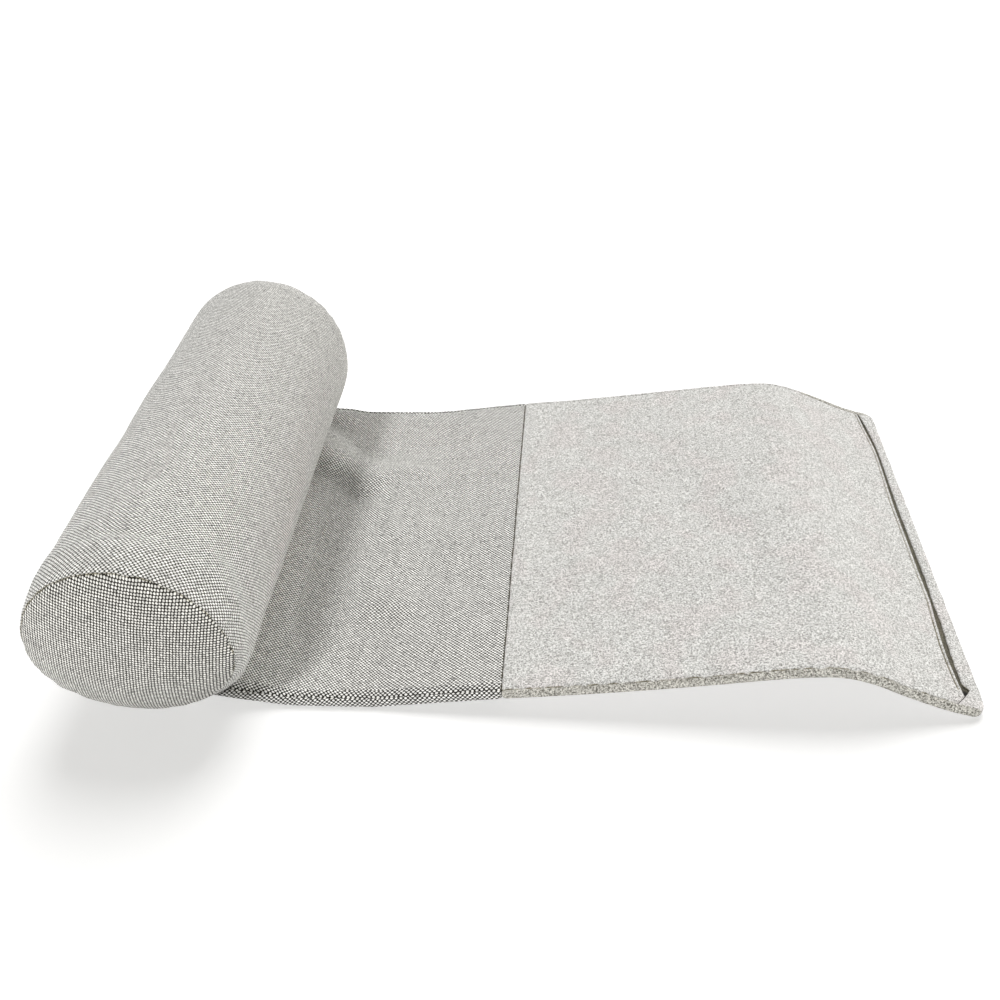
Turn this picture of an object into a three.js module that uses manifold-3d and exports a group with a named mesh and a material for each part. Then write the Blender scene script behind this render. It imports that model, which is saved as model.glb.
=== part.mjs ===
// Neck pillow: a filled woven roll with a flat tail of two layers of cloth.
// The tail is woven next to the roll and felt further out, where it forms a pocket with a slit mouth.
// Millimetres, +Z up. The roll lies along Y and the tail runs out along +X.
// The origin is the middle of the flat spot on which the roll lies.
import * as THREE from 'three';
import * as BufferGeometryUtils from 'three/addons/utils/BufferGeometryUtils.js';
import Module from 'manifold-3d';

// Sizes of the roll
const ROLL_RADIUS = 90;
const SETTLE = 4;
const SEAM_Y = 252;
const SEAM_RADIUS = 84.6;
const SHOULDER = 28;
const NEAR_RISE = 0.215;
const RISE_LENGTH = 42;
const NEAR_LEAN = 0.06;
const CROWN = 20;
const CROWN_POWER = 2.4;
const PANEL = 2;

// Sizes of the tail
const TAIL_NEAR = -222;
const TAIL_FAR = 244;
const TAIL_END = 680;
const PIECING_X = 289;
const LAYER = 3;
const TAIL_THICKNESS = 9;
const EDGE_ROUND = 2;
const CORNER_RADIUS = 14;
const POCKET_INSET = 8;
const POCKET_REACH = 20;

// Clearances between pieces
const GAP = 0.5;
const ROOT_GAP = 2.2;
const ROOT_OVERCUT = 1;
const WOVEN_END = PIECING_X - GAP / 2;
const FELT_START = PIECING_X + GAP / 2;

// How finely the cloth is faceted
const AROUND = 40;
const CROWN_RINGS = [0.4, 0.7, 0.9];
const WALL_RINGS = [6, 12, 19, SHOULDER, 35, RISE_LENGTH];
const WOVEN_STATIONS = [64, 74, 86, 100, 115, 132, 150, 168, 185, 205, 230, 258];
const FELT_STATIONS = [315, 340, 365, 390, 420, 450, 480, 505, 525, 542, 556, 570, 585, 600, 615, 632, 648];
const TAIL_STRIPS = 15;
const EDGE_CROWDING = 0.07;
const CORNER_TURNS = [0, 30, 55, 72, 90];
const SLOPE_STEP = 2;
const ROOT_TURNS = 6;
const MERGE_WITHIN = 1e-4;

// Colours of the two cloths
const WOVEN_COLOR = 0xbdb9b2;
const FELT_COLOR = 0xd2d0cb;
const CLOTH_ROUGHNESS = 0.95;

// Height of the tail's underside along its near and far edges
const TAIL_RISE = [
  { x: 40, near: 12, far: 6 },
  { x: 68, near: 6.5, far: 3.8 },
  { x: 85, near: 4, far: 3 },
  { x: 100, near: 1.5, far: 1.2 },
  { x: 115, near: 0, far: 0 },
  { x: 175, near: 0, far: 0 },
  { x: 200, near: 3, far: 1.5 },
  { x: 230, near: 7.5, far: 5 },
  { x: 290, near: 15, far: 12 },
  { x: 340, near: 20, far: 16.5 },
  { x: 390, near: 25.5, far: 22 },
  { x: 450, near: 33, far: 29 },
  { x: 510, near: 41.5, far: 36 },
  { x: 540, near: 44, far: 38.5 },
  { x: 562, near: 43.5, far: 38.5 },
  { x: 585, near: 37, far: 32.5 },
  { x: 612, near: 24.5, far: 22 },
  { x: 640, near: 12.5, far: 10 },
  { x: 662, near: 4.5, far: 2.5 },
  { x: 672, near: 0.8, far: 0.4 },
  { x: 680, near: 0, far: 0 },
];

// Soft folds pressed into the tail: each runs from one place to another, up or down by its height
const FOLDS = [
  { fromX: 52, fromY: 196, toX: 132, toY: 122, height: 7, width: 17 },
  { fromX: 78, fromY: 236, toX: 140, toY: 168, height: -3, width: 16 },
  { fromX: 98, fromY: 95, toX: 110, toY: -125, height: -4, width: 24 },
  { fromX: 168, fromY: 105, toX: 172, toY: -105, height: 4, width: 28 },
  { fromX: 455, fromY: 60, toX: 545, toY: -185, height: -3.5, width: 26 },
];

// The pocket's mouth: where its middle runs across the tail, and how far its lips stand apart
const MOUTH = [
  { y: -219, x: 665, width: 1.6 },
  { y: -195, x: 663.5, width: 2.4 },
  { y: -157, x: 662.5, width: 3.8 },
  { y: -115, x: 664.8, width: 3.6 },
  { y: -88, x: 666, width: 1.8 },
  { y: -50, x: 666.3, width: 3.6 },
  { y: 0, x: 666.5, width: 3 },
  { y: 60, x: 666, width: 2.4 },
  { y: 120, x: 668, width: 2 },
  { y: 165, x: 669, width: 2.2 },
  { y: 205, x: 666, width: 2.6 },
  { y: 241, x: 665, width: 1.6 },
];

const AXIS_Z = ROLL_RADIUS - SETTLE;

const wasm = await Module();
wasm.setup();

// Value of one column of a table at a place, on a smooth curve through the rows
function along(table, key, at, column) {
  let i = 0;
  while (i < table.length - 2 && at > table[i + 1][key]) i += 1;
  const slope = (j) => {
    const before = table[Math.max(j - 1, 0)];
    const after = table[Math.min(j + 1, table.length - 1)];
    return (after[column] - before[column]) / (after[key] - before[key]);
  };
  const [a, b] = [table[i], table[i + 1]];
  const span = b[key] - a[key];
  const t = THREE.MathUtils.clamp((at - a[key]) / span, 0, 1);
  const [t2, t3] = [t * t, t * t * t];
  return (2 * t3 - 3 * t2 + 1) * a[column] + (t3 - 2 * t2 + t) * span * slope(i)
    + (3 * t2 - 2 * t3) * b[column] + (t3 - t2) * span * slope(i + 1);
}

// How much a fold lifts the cloth at a place
function foldLift(fold, x, y) {
  const [dx, dy] = [fold.toX - fold.fromX, fold.toY - fold.fromY];
  const reach = ((x - fold.fromX) * dx + (y - fold.fromY) * dy) / (dx * dx + dy * dy);
  const t = THREE.MathUtils.clamp(reach, 0, 1);
  const away = Math.hypot(x - fold.fromX - t * dx, y - fold.fromY - t * dy) / fold.width;
  return fold.height * Math.exp(-away * away);
}

// Height of the tail's underside
function underside(x, y) {
  const near = along(TAIL_RISE, 'x', x, 'near');
  const far = along(TAIL_RISE, 'x', x, 'far');
  const rise = THREE.MathUtils.lerp(near, far, (y - TAIL_NEAR) / (TAIL_FAR - TAIL_NEAR));
  return Math.max(0, FOLDS.reduce((sum, fold) => sum + foldLift(fold, x, y), rise));
}

// A point of the tail, a stated depth above the underside and square to it
function tailPoint(x, y, depth) {
  const step = SLOPE_STEP;
  const slopeX = (underside(x + step, y) - underside(x - step, y)) / (2 * step);
  const slopeY = (underside(x, y + step) - underside(x, y - step)) / (2 * step);
  const normal = new THREE.Vector3(-slopeX, -slopeY, 1).normalize();
  return new THREE.Vector3(x, y, underside(x, y)).addScaledVector(normal, depth);
}

// The roll's section a stated distance in from the seam at one end
function ringShape(side, inFromSeam) {
  const shoulder = THREE.MathUtils.clamp(inFromSeam / SHOULDER, 0, 1);
  const nearness = side < 0 ? 1 - THREE.MathUtils.smoothstep(inFromSeam, 0, RISE_LENGTH) : 0;
  return {
    radius: SEAM_RADIUS + (ROLL_RADIUS - SEAM_RADIUS) * Math.sin(shoulder * Math.PI / 2),
    rise: NEAR_RISE * nearness,
    lean: NEAR_LEAN * nearness,
  };
}

// A point of the roll's section, scaled towards the axis
function sectionPoint(shape, angle, scale) {
  const lift = Math.sin(angle) < 0 ? 1 - shape.rise : 1;
  const x = scale * shape.radius * Math.cos(angle);
  const z = AXIS_Z + scale * shape.radius * Math.sin(angle) * lift;
  return new THREE.Vector2(x, Math.max(z, 0));
}

// Where the roll's side stands at a height, so that the tail's root can follow it
function rollSide(y, z) {
  const { radius, rise } = ringShape(Math.sign(y), SEAM_Y - Math.abs(y));
  const sine = THREE.MathUtils.clamp((z - AXIS_Z) / (radius * (1 - rise)), -1, 0);
  return radius * Math.sqrt(1 - sine * sine);
}

// Closed solid from indexed faces
function solid(points, faces) {
  const geometry = new THREE.BufferGeometry();
  geometry.setAttribute('position', new THREE.Float32BufferAttribute(points.flatMap((p) => [...p]), 3));
  geometry.setIndex(faces);
  return geometry;
}

// Two triangles of a four-cornered face
function quad(a, b, c, d) {
  return [a, b, c, a, c, d];
}

// Body of the roll or of an end panel: rings from one pole to the other
function ringed(rings, firstPole, lastPole) {
  const points = [firstPole, ...rings.flat(), lastPole];
  const last = points.length - 1;
  const at = (ring, i) => 1 + ring * AROUND + (i % AROUND);
  const faces = [];
  for (let i = 0; i < AROUND; i += 1) {
    faces.push(0, at(0, i), at(0, i + 1));
    for (let ring = 0; ring < rings.length - 1; ring += 1) {
      faces.push(...quad(at(ring, i), at(ring + 1, i), at(ring + 1, i + 1), at(ring, i + 1)));
    }
    faces.push(last, at(rings.length - 1, i + 1), at(rings.length - 1, i));
  }
  return solid(points, faces);
}

// One ring of the roll at an end: scale 1 is the seam, scale 0 the middle of the crowned panel
function endRing(side, inFromSeam, scale, depth) {
  const shape = ringShape(side, inFromSeam);
  const bulge = CROWN * (1 - scale ** CROWN_POWER) - depth - inFromSeam;
  return Array.from({ length: AROUND }, (_, i) => {
    const flat = sectionPoint(shape, 2 * Math.PI * i / AROUND, scale);
    return new THREE.Vector3(flat.x, side * (SEAM_Y + bulge) + shape.lean * (AXIS_Z - flat.y), flat.y);
  });
}

// Middle of a crowned end
function pole(side, depth) {
  return new THREE.Vector3(0, side * (SEAM_Y + CROWN - depth), AXIS_Z);
}

// The filled roll, its ends set in by the thickness of the end panels
function rollGeometry() {
  const depth = PANEL + GAP;
  const cap = (side) => [...CROWN_RINGS, 1].map((scale) => endRing(side, 0, scale, depth));
  const wall = (side) => WALL_RINGS.map((inFromSeam) => endRing(side, inFromSeam, 1, 0));
  const rings = [...cap(-1), ...wall(-1), ...wall(1).reverse(), ...cap(1).reverse()];
  return ringed(rings, pole(-1, depth), pole(1, depth));
}

// A round end panel: a crowned sheet from its outer face round its rim to its inner face
function panelGeometry(side) {
  const outer = CROWN_RINGS.map((scale) => endRing(side, 0, scale, 0));
  const inner = CROWN_RINGS.map((scale) => endRing(side, 0, scale, PANEL)).reverse();
  const rim = [endRing(side, 0, 1, 0), endRing(side, 0, 1, PANEL)];
  const rings = [...outer, ...rim, ...inner];
  if (side < 0) return ringed(rings, pole(side, 0), pole(side, PANEL));
  return ringed(rings.reverse(), pole(side, PANEL), pole(side, 0));
}

// Closed slab between a low and a high face, each given by a grid of points over the tail
function slab(rows, columns, place) {
  const points = [];
  for (let i = 0; i < rows; i += 1) {
    for (let j = 0; j < columns; j += 1) {
      const { low, high } = place(i, j);
      points.push(tailPoint(...low), tailPoint(...high));
    }
  }
  const low = (i, j) => 2 * (i * columns + j);
  const high = (i, j) => low(i, j) + 1;
  const faces = [];
  for (let i = 0; i < rows - 1; i += 1) {
    for (let j = 0; j < columns - 1; j += 1) {
      faces.push(...quad(high(i, j), high(i + 1, j), high(i + 1, j + 1), high(i, j + 1)));
      faces.push(...quad(low(i, j), low(i, j + 1), low(i + 1, j + 1), low(i + 1, j)));
    }
    const far = columns - 1;
    faces.push(...quad(low(i, 0), low(i + 1, 0), high(i + 1, 0), high(i, 0)));
    faces.push(...quad(low(i, far), high(i, far), high(i + 1, far), low(i + 1, far)));
  }
  for (let j = 0; j < columns - 1; j += 1) {
    const end = rows - 1;
    faces.push(...quad(low(0, j), high(0, j), high(0, j + 1), low(0, j + 1)));
    faces.push(...quad(low(end, j), low(end, j + 1), high(end, j + 1), high(end, j)));
  }
  return solid(points, faces);
}

// Places across the tail between its long edges, closer together near them
function across(inset) {
  return Array.from({ length: TAIL_STRIPS + 1 }, (_, j) => {
    const share = j / TAIL_STRIPS - EDGE_CROWDING * Math.sin(2 * Math.PI * j / TAIL_STRIPS);
    return THREE.MathUtils.lerp(TAIL_NEAR + inset, TAIL_FAR - inset, share);
  });
}

// Start of a layer at the root: the place where a depth of the tail meets the roll's side
function root(y, depth) {
  let x = rollSide(y, depth);
  for (let turn = 0; turn < ROOT_TURNS; turn += 1) x = rollSide(y, tailPoint(x, y, depth).z) + ROOT_GAP;
  return x;
}

// Edge of the pocket's mouth, a share of its width to one side of its middle
function mouth(share) {
  return (y) => along(MOUTH, 'y', y, 'x') + share * along(MOUTH, 'y', y, 'width');
}

// A station along the tail is a place, or a rule that gives one for each place across and depth
function placeOf(station, y, depth) {
  return typeof station === 'function' ? station(y, depth) : station;
}

// Outer form of a back piece, with rounded long edges; a row may be set in and have its end rounded
function backForm(rows) {
  const columns = TAIL_STRIPS + 3;
  return slab(rows.length, columns, (i, j) => {
    const { station, inset, round } = rows[i];
    const edge = j === 0 || j === columns - 1;
    const rim = j === 0 ? TAIL_NEAR + inset : TAIL_FAR - inset;
    const y = edge ? rim : across(inset + EDGE_ROUND)[j - 1];
    const low = edge ? EDGE_ROUND : round;
    const high = TAIL_THICKNESS - low;
    return { low: [placeOf(station, y, low), y, low], high: [placeOf(station, y, high), y, high] };
  });
}

// Straight rows of a back piece, and the rows that round the corners at the tail's end
const straightRow = (station) => ({ station, inset: 0, round: 0 });
const cornerRow = (turn) => {
  const angle = THREE.MathUtils.degToRad(turn);
  return {
    station: TAIL_END - CORNER_RADIUS * (1 - Math.sin(angle)),
    inset: CORNER_RADIUS * (1 - Math.cos(angle)),
    round: turn === CORNER_TURNS.at(-1) ? EDGE_ROUND : 0,
  };
};

// Plain slab between two depths, set in from the long edges
function layer(stations, inset, lowDepth, highDepth) {
  const ys = across(inset);
  return slab(stations.length, ys.length, (i, j) => ({
    low: [placeOf(stations[i], ys[j], lowDepth), ys[j], lowDepth],
    high: [placeOf(stations[i], ys[j], highDepth), ys[j], highDepth],
  }));
}

// Mesh geometry to a solid that can be cut, and back
function toManifold(geometry) {
  const vertProperties = geometry.attributes.position.array;
  const triVerts = new Uint32Array(geometry.index.array);
  return new wasm.Manifold(new wasm.Mesh({ numProp: 3, vertProperties, triVerts }));
}

function fromManifold(cut) {
  const mesh = cut.getMesh();
  const geometry = new THREE.BufferGeometry();
  geometry.setAttribute('position', new THREE.BufferAttribute(mesh.vertProperties, 3));
  geometry.setIndex(new THREE.BufferAttribute(mesh.triVerts, 1));
  return geometry;
}

// A back piece's form without the room above its floor, open at the top, in which the front lies
function backWithRoom(rows, roomStations) {
  const room = layer(roomStations, LAYER, LAYER, TAIL_THICKNESS + LAYER);
  return toManifold(backForm(rows)).subtract(toManifold(room));
}

function wovenBackGeometry() {
  const rows = [root, ...WOVEN_STATIONS, WOVEN_END].map(straightRow);
  const pastRoot = (y, depth) => root(y, depth) - ROOT_OVERCUT;
  return fromManifold(backWithRoom(rows, [pastRoot, ...WOVEN_STATIONS, PIECING_X + LAYER]));
}

// The felt back keeps its fold-over strip, with the pocket reaching in under it
function feltBackGeometry() {
  const rows = [...[FELT_START, ...FELT_STATIONS].map(straightRow), ...CORNER_TURNS.map(cornerRow)];
  const open = backWithRoom(rows, [PIECING_X - LAYER, ...FELT_STATIONS, mouth(0.5)]);
  const reach = [TAIL_END - POCKET_REACH, TAIL_END - CORNER_RADIUS, TAIL_END - LAYER];
  const pocket = layer(reach, POCKET_INSET, LAYER, TAIL_THICKNESS - LAYER);
  return fromManifold(open.subtract(toManifold(pocket)));
}

// A front piece lies on the pocket's space, between the back's turned-up edges
function frontGeometry(stations) {
  return layer(stations, LAYER + GAP, TAIL_THICKNESS - LAYER, TAIL_THICKNESS);
}

// Named mesh of one cloth
function piece(name, geometry, color) {
  const plain = BufferGeometryUtils.mergeVertices(geometry, MERGE_WITHIN);
  plain.computeVertexNormals();
  const material = new THREE.MeshStandardMaterial({ color, roughness: CLOTH_ROUGHNESS, metalness: 0 });
  const mesh = new THREE.Mesh(plain, material);
  mesh.name = name;
  return mesh;
}

const woven = (name, geometry) => piece(name, geometry, WOVEN_COLOR);
const felt = (name, geometry) => piece(name, geometry, FELT_COLOR);

const pillow = new THREE.Group();
pillow.add(woven('roll', rollGeometry()));
pillow.add(woven('end_panel_near', panelGeometry(-1)));
pillow.add(woven('end_panel_far', panelGeometry(1)));
pillow.add(woven('tail_woven_back', wovenBackGeometry()));
pillow.add(woven('tail_woven_front', frontGeometry([root, ...WOVEN_STATIONS, WOVEN_END])));
pillow.add(felt('tail_felt_back', feltBackGeometry()));
pillow.add(felt('tail_felt_front', frontGeometry([FELT_START, ...FELT_STATIONS, mouth(-0.5)])));

export default pillow;
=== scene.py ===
import math
from functools import partial

import bmesh
import bpy
import numpy as np
from mathutils import Matrix, Vector


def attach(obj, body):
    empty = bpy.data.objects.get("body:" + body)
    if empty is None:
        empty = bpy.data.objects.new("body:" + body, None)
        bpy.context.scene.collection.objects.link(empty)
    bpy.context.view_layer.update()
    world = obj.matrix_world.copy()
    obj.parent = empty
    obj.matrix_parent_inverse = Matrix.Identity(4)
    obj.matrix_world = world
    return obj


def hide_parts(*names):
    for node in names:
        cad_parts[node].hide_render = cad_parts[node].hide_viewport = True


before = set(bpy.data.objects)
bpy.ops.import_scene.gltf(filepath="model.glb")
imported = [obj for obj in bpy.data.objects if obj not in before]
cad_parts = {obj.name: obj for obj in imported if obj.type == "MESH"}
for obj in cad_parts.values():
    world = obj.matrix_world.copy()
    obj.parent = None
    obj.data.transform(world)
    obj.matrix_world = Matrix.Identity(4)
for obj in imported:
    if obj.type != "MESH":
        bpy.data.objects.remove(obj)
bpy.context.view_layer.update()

scene = bpy.context.scene

# The camera's yaw, pitch and roll in degrees, its lens and its place
CAMERA_TURN = (-4.904, 35.371, -2.39)
CAMERA_LENS = 41.12
CAMERA_PLACE = (0.35135, -0.89106, 0.69134)

# Sizes of the roll, in metres, as in the part
ROLL_RADIUS = 0.090
SETTLE = 0.004
AXIS_Z = ROLL_RADIUS - SETTLE
SEAM_Y = 0.252
SEAM_RADIUS = 0.0846
SHOULDER = 0.028
NEAR_RISE = 0.215
RISE_LENGTH = 0.042
NEAR_LEAN = 0.06
CROWN = 0.020
CROWN_POWER = 2.4
CAP_DEPTH = 0.0035
PANEL_CLOTH = 0.0018
PANEL_TURN = 57

# Sizes of the tail: its edges, layers and corners, how far in the front starts and is sewn, and where its
# rows get finer
TAIL_NEAR = -0.222
TAIL_FAR = 0.244
TAIL_END = 0.680
PIECING_X = 0.289
LAYER = 0.003
BACK_TOP = 0.00295
TAIL_THICKNESS = 0.009
CORNER = 0.014
ROOT_GAP = 0.0018
FRONT_INSET = 0.0034
NEAR_FINE = -0.190
STITCH_INSET = 0.00325

# Height of the tail's underside: place along the tail, height at the near edge, height at the far edge
TAIL_RISE = np.array([
    (0.040, 0.0120, 0.0075), (0.068, 0.0065, 0.0055), (0.085, 0.0040, 0.0042),
    (0.100, 0.0015, 0.0012), (0.115, 0.0, 0.0), (0.175, 0.0, 0.0),
    (0.200, 0.0026, 0.0015), (0.230, 0.0062, 0.0050), (0.290, 0.0130, 0.0120),
    (0.340, 0.0181, 0.0165), (0.390, 0.0237, 0.0220), (0.450, 0.0315, 0.0290),
    (0.510, 0.0405, 0.0360), (0.540, 0.0440, 0.0385), (0.562, 0.0435, 0.0385),
    (0.585, 0.0370, 0.0325), (0.612, 0.0245, 0.0220), (0.640, 0.0125, 0.0100),
    (0.662, 0.0045, 0.0025), (0.672, 0.0008, 0.0004), (0.680, 0.0, 0.0),
])

# Soft folds in the tail: start, end, height and width of each
FOLDS = [
    ((0.042, 0.159), (0.132, 0.095), 0.0092, 0.026),
    ((0.068, 0.206), (0.132, 0.155), -0.0045, 0.015),
    ((0.098, 0.095), (0.110, -0.125), -0.004, 0.024),
    ((0.168, 0.105), (0.172, -0.105), 0.0065, 0.028),
    ((0.455, 0.060), (0.545, -0.185), -0.0035, 0.026),
]

# The pocket's mouth: place across the tail, its middle along the tail, and how far its lips stand apart
MOUTH = np.array([
    (-0.219, 0.6640, 0.0026), (-0.195, 0.6620, 0.0036), (-0.157, 0.6612, 0.0050),
    (-0.115, 0.6636, 0.0052), (-0.088, 0.6645, 0.0032), (-0.050, 0.6650, 0.0052),
    (0.000, 0.6650, 0.0046), (0.060, 0.6650, 0.0042), (0.120, 0.6668, 0.0034),
    (0.165, 0.6676, 0.0036), (0.205, 0.6645, 0.0046), (0.241, 0.6610, 0.0022),
])

# Slanting edge of the folded-over strip at the near corner, and the notch where it meets the mouth
FOLD_EDGE = np.array([(-0.2189, 0.6528), (-0.2095, 0.6605), (-0.1970, 0.6690)])
NOTCH_START = -0.1925

# Band profile of a turned-up long edge: how far in and how high, outside then inside
BAND_OUTER = np.array([
    (3.10, 6.7), (2.95, 7.5), (2.45, 8.1), (1.60, 8.2), (0.80, 7.9), (0.25, 7.3), (0.0, 6.6),
    (-0.1, 5.8), (-0.1, 4.6), (-0.1, 3.0), (0.0, 1.6), (0.2, 0.8), (0.7, 0.25), (1.6, 0.0),
    (3.6, 0.0), (8.0, 0.0), (14.0, 0.0),
]) / 1000
BAND_INNER = np.array([
    (2.95, 6.0), (2.92, 5.9), (2.9, 5.8), (2.9, 5.7), (2.9, 5.6), (2.9, 5.5), (2.9, 5.3),
    (2.9, 5.1), (2.9, 4.8), (2.9, 4.5), (2.95, 4.1), (3.05, 3.7), (3.3, 3.3), (3.7, 3.05),
    (5.0, 2.95), (8.5, 2.95), (14.0, 2.95),
]) / 1000

# Profile of the folded-over end: the first value is a share of the strip's width for the points that lie on
# the front, then millimetres
ON_FRONT = 7
STRIP_OUTER = np.array([
    (1.0, 7.0), (0.99, 8.1), (0.93, 8.75), (0.80, 9.0), (0.62, 9.05), (0.44, 9.05), (0.28, 8.95),
    (1.9, 8.5), (0.8, 7.5), (0.2, 6.1), (0.0, 4.5), (0.2, 2.9), (0.8, 1.5), (1.9, 0.5),
    (4.0, 0.0), (8.0, 0.0), (14.0, 0.0),
])
STRIP_INNER = np.array([
    (0.98, 6.2), (0.97, 6.1), (0.93, 6.05), (0.80, 6.0), (0.62, 6.0), (0.45, 6.0), (0.33, 5.9),
    (3.3, 5.6), (3.1, 5.2), (3.0, 4.8), (3.0, 4.5), (3.0, 4.2), (3.1, 3.8), (3.4, 3.4),
    (5.0, 3.0), (8.5, 2.95), (14.0, 2.95),
])


# Small helpers

def smooth(value, low, high):
    """0 below low, 1 above high, and a soft step between."""
    t = np.clip((value - low) / (high - low), 0, 1)
    return t * t * (3 - 2 * t)


def along(table, at, column):
    """Value of one column of a table at a place, on a smooth curve through the rows."""
    places, values = table[:, 0], table[:, column]
    last = len(places) - 1
    i = np.clip(np.searchsorted(places, at, side="left") - 1, 0, last - 1)

    def slope(j):
        before, after = np.maximum(j - 1, 0), np.minimum(j + 1, last)
        return (values[after] - values[before]) / (places[after] - places[before])

    span = places[i + 1] - places[i]
    t = np.clip((at - places[i]) / span, 0, 1)
    return ((2 * t**3 - 3 * t**2 + 1) * values[i] + (t**3 - 2 * t**2 + t) * span * slope(i)
            + (3 * t**2 - 2 * t**3) * values[i + 1] + (t**3 - t**2) * span * slope(i + 1))


def ripple(u, v, length, seed, waves=9):
    """Uneven waves of about one length in every direction, about 1 high."""
    chance = np.random.default_rng(seed)
    total = np.zeros(np.broadcast(u, v).shape)
    for _ in range(waves):
        turn, phase = chance.uniform(0, 2 * np.pi, 2)
        size = length * chance.uniform(0.6, 1.5)
        total += np.cos((u * np.cos(turn) + v * np.sin(turn)) * 2 * np.pi / size + phase)
    return total / math.sqrt(waves)


def ring_ripple(angle, fewest, most, seed, waves=9):
    """Uneven waves round a ring, with between fewest and most of them to a turn."""
    chance = np.random.default_rng(seed)
    total = np.zeros(np.shape(angle))
    for _ in range(waves):
        total += np.cos(chance.integers(fewest, most + 1) * angle + chance.uniform(0, 2 * np.pi))
    return total / math.sqrt(waves)


def row_ripple(x, length, seed):
    """Uneven waves along a line."""
    return ripple(x, 0.0 * x, length, seed)


def spaced(start, end, step, fine_start=True, fine_end=True):
    """Places from start to end, close together at a sewn end."""
    fine = np.array([0, 0.35, 0.8, 1.4, 2.2, 3.3, 5.0]) / 1000
    head = start + fine if fine_start else np.array([start])
    tail = (end - fine)[::-1] if fine_end else np.array([end])
    count = max(2, int(round((tail[0] - head[-1]) / step)))
    return np.concatenate([head, np.linspace(head[-1], tail[0], count + 1)[1:-1], tail])


# Meshes from patches

def weld(patches):
    """Joins grids of points into one mesh: its points, its faces, the same faces in grid points, and
    which point each grid point became."""
    flat = np.concatenate([patch.reshape(-1, 3) for patch in patches])
    _, first, inverse = np.unique(np.round(flat / 1e-5).astype(np.int64), axis=0,
                                  return_index=True, return_inverse=True)
    inverse = inverse.reshape(-1)
    quads, start = [], 0
    for patch in patches:
        rows, columns = patch.shape[:2]
        at = start + np.arange(rows * columns).reshape(rows, columns)
        quads.append(np.stack([at[:-1, :-1], at[1:, :-1], at[1:, 1:], at[:-1, 1:]], -1).reshape(-1, 4))
        start += rows * columns
    quads = np.concatenate(quads)
    faces, corners = [], []
    for grid_face, face in zip(quads.tolist(), inverse[quads].tolist()):
        kept = [k for k in range(4) if face[k] != face[k - 1]]
        if len(kept) > 2 and len({face[k] for k in kept}) == len(kept):
            faces.append([face[k] for k in kept])
            corners.append([grid_face[k] for k in kept])
    return flat[first], faces, corners, inverse


def linked(name, data):
    """A new object in the scene."""
    made = bpy.data.objects.new(name, data)
    scene.collection.objects.link(made)
    return made


def face_outwards(mesh):
    form = bmesh.new()
    form.from_mesh(mesh)
    bmesh.ops.recalc_face_normals(form, faces=form.faces)
    form.to_mesh(mesh)
    form.free()


def sewn(name, patches, cloth=None, seam=None):
    """A closed piece from patches; cloth gives each patch's flat place, seam the painted shade of each
    point, by how far down in a seam or opening it lies.
    """
    points, faces, corners, inverse = weld(patches)
    mesh = bpy.data.meshes.new(name)
    mesh.from_pydata(points.tolist(), [], faces)
    # The painted shade is kept as a point attribute named seam.
    if seam is not None:
        deep = np.zeros(len(points))
        np.maximum.at(deep, inverse, np.clip(np.concatenate([patch.ravel() for patch in seam]), 0, 1))
        mesh.attributes.new("seam", "FLOAT", "POINT").data.foreach_set("value", deep)
    if cloth is not None:
        places = np.concatenate([patch.reshape(-1, 2) for patch in cloth])
        order = np.array([corner for face in corners for corner in face])
        mesh.uv_layers.new(name="cloth").data.foreach_set("uv", places[order].ravel())
    face_outwards(mesh)
    mesh.shade_smooth()
    return linked(name, mesh)


def shell(outer, inner):
    """Patches of a closed sheet between two grids."""
    return [
        outer, inner,
        np.stack([outer[0], inner[0]]), np.stack([outer[-1], inner[-1]]),
        np.stack([outer[:, 0], inner[:, 0]], 1), np.stack([outer[:, -1], inner[:, -1]], 1),
    ]


def shell_of_one(grid):
    """What one grid gives those patches, the same on both faces."""
    return shell(grid, grid)


def refined(piece, finish):
    """The piece with one subdivision applied, in its finish."""
    subdivision = piece.modifiers.new("finish", "SUBSURF")
    subdivision.levels = subdivision.render_levels = 1
    depsgraph = bpy.context.evaluated_depsgraph_get()
    mesh = bpy.data.meshes.new_from_object(piece.evaluated_get(depsgraph))
    piece.modifiers.clear()
    piece.data = mesh
    mesh.shade_smooth()
    mesh.materials.append(finish)
    return piece


# Camera, floor and light

def add_camera():
    yaw, pitch, roll = (math.radians(angle) for angle in CAMERA_TURN)
    ahead = Vector((math.sin(yaw) * math.cos(pitch), math.cos(yaw) * math.cos(pitch), -math.sin(pitch)))
    level = Vector((math.cos(yaw), -math.sin(yaw), 0))
    above = level.cross(ahead)
    right = level * math.cos(roll) + above * math.sin(roll)
    up = above * math.cos(roll) - level * math.sin(roll)
    data = bpy.data.cameras.new("camera")
    data.lens = CAMERA_LENS
    data.sensor_width = 36
    camera = linked("camera", data)
    place = Matrix((right, up, -ahead)).transposed().to_4x4()
    place.translation = Vector(CAMERA_PLACE)
    camera.matrix_world = place
    scene.camera = camera


def add_floor():
    mesh = bpy.data.meshes.new("floor")
    mesh.from_pydata([(-9, -9, 0), (9, -9, 0), (9, 9, 0), (-9, 9, 0)], [], [(0, 1, 2, 3)])
    floor = linked("floor", mesh)
    floor.location.z = -0.0002
    material, _ = plain_material("floor white", {
        "Base Color": (0.75, 0.75, 0.75, 1), "Roughness": 0.9,
        "Emission Color": (1, 1, 1, 1), "Emission Strength": 0.47})
    mesh.materials.append(material)
    return floor


def add_lamp(name, toward, strength, angle, color=(1, 1, 1)):
    data = bpy.data.lights.new(name, "SUN")
    data.energy = strength
    data.color = color
    data.angle = math.radians(angle)
    lamp = linked(name, data)
    lamp.rotation_euler = Vector(toward).to_track_quat("Z", "Y").to_euler()
    return lamp


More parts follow.
